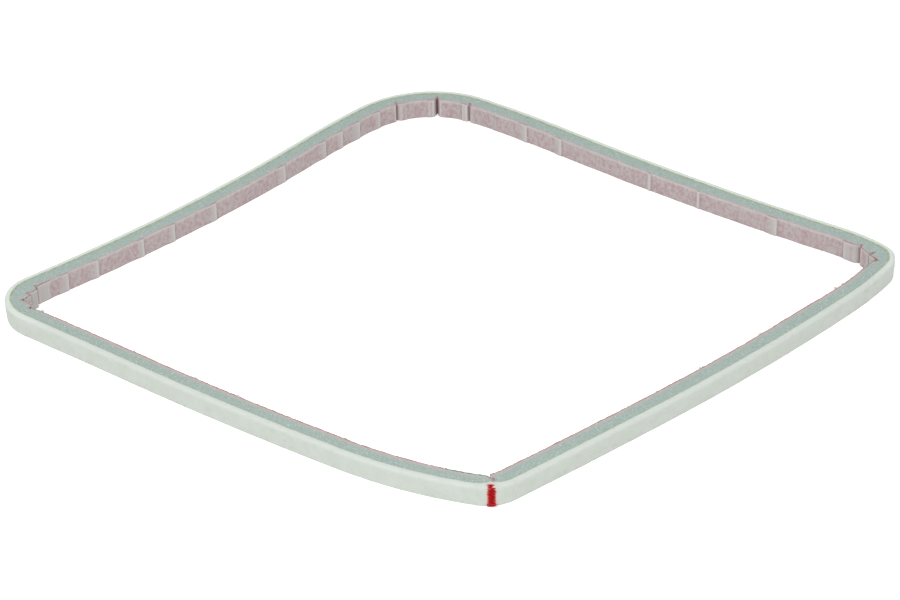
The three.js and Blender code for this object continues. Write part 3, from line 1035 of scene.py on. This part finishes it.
def release_paper():
    """Waxed paper over the adhesive, standing off in ridges and bridging the creases."""
    places = strip_places(RING_START + RIGHT_END_BARE + 0.8 * MM, TAB_START - 0.6 * MM, 1.6 * MM, 0.5 * MM)
    lift = paper_lift(places)
    over_foam = lift - foam_lift(places)
    face = plain_face(places) + lift + ADHESIVE_THICKNESS + 2 * LAYER_GAP
    top = FOAM_TOP - 0.1 * MM + wave(places, 9 * MM, 0.12 * MM, 9.3)
    low = 0.15 * MM + np.abs(wave(places, 11 * MM, 0.3 * MM, 12.9))
    rows = section_rows(face, face + PAPER_THICKNESS, low, top, [0.05 * MM] * 4, [6, 1, 6, 1])
    stands_off = np.clip((over_foam - 0.5 * MM) / (0.25 * MM), 0, 1)
    # Painted shade where the paper lies lower than it does round about
    around = sum(paper_lift(places + shift * MM) for shift in NEARBY) / len(NEARBY)
    crease_shade = np.clip((around - lift) / (0.7 * MM), 0, 1)
    # Painted highlight where the paper lies higher than it does round about
    crest = np.clip((lift - around) / (0.6 * MM), 0, 1)
    rim = [np.clip(1 - (top - height) / (0.7 * MM), 0, 1) + 0 * places for _, height in rows]
    kept = {
        "stands_off": stands_off,
        "crease_shade": crease_shade,
        "crease_flank_shade": crease_flank_shade(places),
        "fold_highlight": crest,
        "rim": rim,
    }
    piece = sweep("paper_liner", places, rows, kept, face)
    return finish_piece(piece, PAPER, "release_paper", "release_paper")


# Stretches of the tab's upper edge left without painted shade, in millimetres: middle, from the joint, and
# half length
UNSHADED_STRETCHES = [(-35, 1.6), (-22.8, 1.1), (-14, 1.4), (-7, 3.2)]


def starter_tab():
    """Turquoise film in place of the paper, left of the joint."""
    places = strip_places(TAB_START, RING_END - LEFT_END_BARE, 0.6 * MM, 0.5 * MM)
    face = foam_face(places) + LAYER_GAP
    top = FOAM_TOP + 0.35 * MM + wave(places, 3 * MM, 0.2 * MM, 2.9)
    rows = section_rows(face, face + TAB_THICKNESS, 0.3 * MM, top, [0.08 * MM] * 4, [4, 1, 4, 1])
    # Painted shade along the upper edge, except over the listed stretches
    unshaded = 0 * places
    for middle, half in UNSHADED_STRETCHES:
        beside = np.abs(places - RING_LENGTH - middle * MM)
        unshaded = np.maximum(unshaded, np.clip((half * MM - beside) / (0.5 * MM) + 0.5, 0, 1))
    edge_shade = [(1 - unshaded) * np.clip(1 - (top - height) / (0.6 * MM), 0, 1) for _, height in rows]
    piece = sweep("turquoise_tab", places, rows, {"edge_shade": edge_shade}, face)
    return finish_piece(piece, TAB, "tab_film", "starter_tab")


# Tufts of felt caught on the adhesive's upper edge, in millimetres: place, inset and size
TUFTS = [
    (217, 14.1, 2.6), (219.6, 13.9, 1.7), (284, 13.9, 2.4), (286.4, 13.8, 1.6), (376, 13.2, 3.0),
    (385, 12.7, 2.8), (1421.7, 13.0, 2.6), (1518, 12.9, 2.0), (1580, 12.9, 2.3), (1582.4, 12.8, 1.6),
    (1623, 12.9, 2.4), (1625.6, 12.8, 1.7), (1723, 12.9, 2.0),
]


def tuft_tree():
    """One rounded lump of felt on each point, turned at random and of the point's own size."""
    tree, given, result = new_group(
        "felt_tufts",
        "GeometryNodeTree",
        {
            "Points": ("Geometry", None),
            "Seed": ("Int", 0),
            "Material": ("Material", None),
        },
        {"Tufts": "Geometry"},
    )
    inputs = {"Radius": 0.5, "Subdivisions": 3}
    lump = add_node(tree, "GeometryNodeMeshIcoSphere", inputs)
    inputs = {"Geometry": lump.outputs[0], "Scale": (1.0, 0.7, 0.55)}
    flat = add_node(tree, "GeometryNodeTransform", inputs)
    inputs = {0: (0.0, 0.0, 0.0), 1: (0.6, 0.6, 6.3), "Seed": given["Seed"]}
    turn = add_node(tree, "FunctionNodeRandomValue", inputs, data_type="FLOAT_VECTOR")
    size = add_node(tree, "GeometryNodeInputNamedAttribute", {"Name": "size"}, data_type="FLOAT")
    inputs = {
        "Points": given["Points"],
        "Instance": flat.outputs[0],
        "Rotation": turn.outputs[0],
        "Scale": size.outputs[0],
    }
    laid = add_node(tree, "GeometryNodeInstanceOnPoints", inputs)
    return finish_tree(tree, laid.outputs[0], given, result)


def edge_tufts():
    """Tufts that have stuck to the adhesive where it shows above the foam."""
    points = []
    for place, inset, size in TUFTS:
        x, y = plan_points(place * MM, inset * MM)
        points.append((x, y, FOAM_TOP))
    seeds = new_piece("tuft_points", points, [], smooth=False)
    sizes = seeds.data.attributes.new("size", "FLOAT", "POINT")
    sizes.data.foreach_set("value", [size * MM for _, _, size in TUFTS])
    piece = run_tree(seeds, tuft_tree(), {"Seed": 3, "Material": FELT}, "edge_tufts")
    bpy.data.objects.remove(seeds)
    piece.data.shade_smooth()
    roughen(piece, [(1.1 * MM, 0.4 * MM), (0.5 * MM, 0.15 * MM)])
    return finish_piece(piece, FELT, "felt")


STITCH_COUNT = 14
STITCH_STEPS = 9
THREAD_RADIUS = 0.37 * MM
STRAND_RADIUS = 0.12 * MM
CURL_RADIUS = 0.32 * MM
STITCH_LIFT = 0.35 * MM
STITCH_DIVE = 0.6 * MM
FOOT_LOOP = 0.9 * MM

# Reach of the topmost stitches from the seam's middle, in millimetres and from the top down: they
# are short and uneven
TOP_REACHES = [(2.6, 2.4), (2.7, 1.0), (3.0, 2.9)]


def seam_outline(share):
    """Inset and height on the felt's surface, and the way out of it, from the foot of its outer face
    at nought to its upper face at one."""
    foot, head = SEAM_PINCH - FELT_FOOT, SEAM_PINCH - FELT_HEAD
    top = STRIP_HEIGHT + 0.4 * FELT_RISE
    over = 1.2 * MM
    lengths = [top - FELT_EDGE, FELT_EDGE * math.pi / 2, over]
    travelled = share * sum(lengths)
    if travelled < lengths[0]:
        return foot + (head - foot) * travelled / lengths[0], travelled, (-1.0, 0.0)
    travelled -= lengths[0]
    if travelled < lengths[1]:
        angle = travelled / FELT_EDGE
        inset = head + FELT_EDGE * (1 - math.cos(angle))
        height = top - FELT_EDGE * (1 - math.sin(angle))
        return inset, height, (-math.cos(angle), math.sin(angle))
    return head + FELT_EDGE + travelled - lengths[1], top, (0.0, 1.0)


def stitch_line(rng):
    """Points of the zigzag thread, as place, inset and height: it dives into the felt at each side and
    arches over its surface."""
    low, high = 0.022, 0.97
    legs = 2 * STITCH_COUNT
    points = []
    reaches = [SEAM_HALF_WIDTH + rng.uniform(-0.35, 0.25) * MM for _ in range(legs + 1)]
    for i, (left, right) in enumerate(reversed(TOP_REACHES)):
        tip = legs - 2 * len(TOP_REACHES) + 2 * i
        reaches[tip] = left * MM
        reaches[tip + 1] = right * MM
    rises = [low + (high - low) * (leg + rng.uniform(-0.12, 0.12)) / legs for leg in range(legs + 1)]
    for leg in range(legs):
        side = -1 if leg % 2 == 0 else 1
        start, end = max(low, rises[leg]), rises[leg + 1]
        lift = STITCH_LIFT * rng.uniform(0.9, 1.2) + FOOT_LOOP * max(0.0, 1 - leg / 3)
        for step in range(STITCH_STEPS + 1):
            share = step / STITCH_STEPS
            across = side * (reaches[leg] * (1 - share) - reaches[leg + 1] * share)
            inset, height, (outwards, upwards) = seam_outline(start + (end - start) * share)
            arch = lift * math.sin(math.pi * share) ** 0.6 - STITCH_DIVE * abs(2 * share - 1) ** 5
            points.append((SEAM_MIDDLE + across, inset + outwards * arch, height + upwards * arch))
    return points


# Loose strands at the seam's foot, in millimetres: across from its middle, out of the felt and up
LOOSE_STRANDS = [
    [(0.6, 0.3, 1.2), (1.6, 0.9, 0.8), (2.8, 1.4, 0.5), (4.1, 1.3, 0.4)],
    [(1.4, 0.3, 2.0), (2.6, 0.9, 1.5), (3.6, 1.0, 1.2), (4.6, 0.6, 1.3)],
    [(-0.8, 0.4, 0.8), (0.2, 1.3, 0.5), (1.4, 1.9, 0.35), (2.6, 1.7, 0.3)],
]


def thread_piece(name, lines, radius):
    """Twisted thread along each line of points of place, inset and height."""
    points = []
    edges = []
    for line in lines:
        first = len(points)
        for place, inset, height in line:
            x, y = plan_points(place, inset)
            points.append((x, y, height))
        edges += [(i, i + 1) for i in range(first, len(points) - 1)]
    guide = new_piece("thread_line", points, [], smooth=False, edges=edges)
    values = {
        "Step": 0.22 * MM,
        "Twist": 1.3 * MM,
        "Ply Radius": radius / 2,
        "Material": THREAD,
    }
    piece = run_tree(guide, thread_tree(), values, name)
    bpy.data.objects.remove(guide)
    piece.data.shade_smooth()
    return piece


def seam_stitches():
    """Zigzag of twisted red thread across the felt's joint."""
    piece = thread_piece("seam_stitches", [stitch_line(random.Random(11))], THREAD_RADIUS)
    return finish_piece(piece, THREAD, "thread", "seam_thread")


def thread_ends():
    """Thin loose strands where the thread was cut at the foot of the seam."""
    lines = [
        [
            (SEAM_MIDDLE + across * MM, -FELT_FOOT - out * MM, up * MM)
            for across, out, up in strand
        ]
        for strand in LOOSE_STRANDS
    ]
    return finish_piece(thread_piece("thread_ends", lines, STRAND_RADIUS), THREAD, "thread")


# Curl of peeled adhesive on the foam beside the joint, in millimetres: place from the joint and inset
PEELED_CURL = [
    (0.5, 7.4), (1.8, 7.3), (3.2, 7.4), (4.3, 7.0), (3.6, 6.2), (2.2, 5.9), (1.3, 5.4), (1.7, 4.8),
    (2.9, 4.6), (4.1, 5.0),
]


def peeled_curl():
    """Thin curl of adhesive that lies on the foam beside the joint."""
    top = FOAM_TOP + 0.25 * MM
    line = [(JOINT_PLACE + place * MM, inset * MM, top) for place, inset in PEELED_CURL]
    piece = thread_piece("peeled_curl", [line], CURL_RADIUS)
    piece.data.materials.clear()
    return finish_piece(piece, ADHESIVE, "adhesive")


# Stage


def set_camera():
    camera = bpy.data.objects.new("camera", bpy.data.cameras.new("camera"))
    bpy.context.scene.collection.objects.link(camera)
    camera.data.lens = CAMERA_LENS
    camera.data.sensor_width = CAMERA_SENSOR
    camera.data.clip_end = 50
    turn = Matrix.Rotation(CAMERA_TURN, 4, "Z")
    back = Vector((0, -math.cos(CAMERA_PITCH), math.sin(CAMERA_PITCH))) * CAMERA_DISTANCE
    place = turn @ back + Vector((*CAMERA_TARGET, 0))
    tilt = Matrix.Rotation(math.pi / 2 - CAMERA_PITCH, 4, "X")
    roll = Matrix.Rotation(CAMERA_ROLL, 4, "Z")
    camera.matrix_world = Matrix.Translation(place) @ turn @ tilt @ roll
    bpy.context.scene.camera = camera


SURROUND_STRENGTH = 0.87
SOFTBOX_SIZE = 2.5
SOFTBOX_WATTS = 50
SOFTBOX_PLACE = Vector((-0.3, -1.7, 2.3))
FLOOR_HALF = 4.0
FLOOR_GLOW = 0.2


def light_scene():
    """Plain pale floor, an even white surround and one large soft light."""
    scene = bpy.context.scene
    scene.view_settings.view_transform = "Standard"
    scene.view_settings.look = "None"
    world = bpy.data.worlds.new("surround")
    world.use_nodes = True
    background = world.node_tree.nodes["Background"]
    set_inputs(background, {"Color": (1, 1, 1, 1), "Strength": SURROUND_STRENGTH})
    scene.world = world
    lamp = bpy.data.lights.new("softbox", "AREA")
    lamp.shape = "DISK"
    lamp.size = SOFTBOX_SIZE
    lamp.energy = SOFTBOX_WATTS
    softbox = bpy.data.objects.new("softbox", lamp)
    scene.collection.objects.link(softbox)
    softbox.location = SOFTBOX_PLACE
    softbox.rotation_euler = (-SOFTBOX_PLACE).to_track_quat("-Z", "Y").to_euler()
    signs = [(-1, -1), (1, -1), (1, 1), (-1, 1)]
    corners = [(x * FLOOR_HALF, y * FLOOR_HALF, 0) for x, y in signs]
    floor = new_piece("floor", corners, [(0, 1, 2, 3)], smooth=False)
    pale, _, shader, _ = new_material("pale_floor", 0.95, specular=0.5)
    set_inputs(shader, {
        "Base Color": (0.97, 0.97, 0.97, 1),
        "Emission Color": (1, 1, 1, 1),
        "Emission Strength": FLOOR_GLOW,
    })
    floor.data.materials.append(pale)


set_camera()
light_scene()
felt = felt_strip()
foam_strip()
felt_fuzz(felt)
glue_line()
adhesive_film()
release_paper()
starter_tab()
edge_tufts()
peeled_curl()
seam_stitches()
thread_ends()
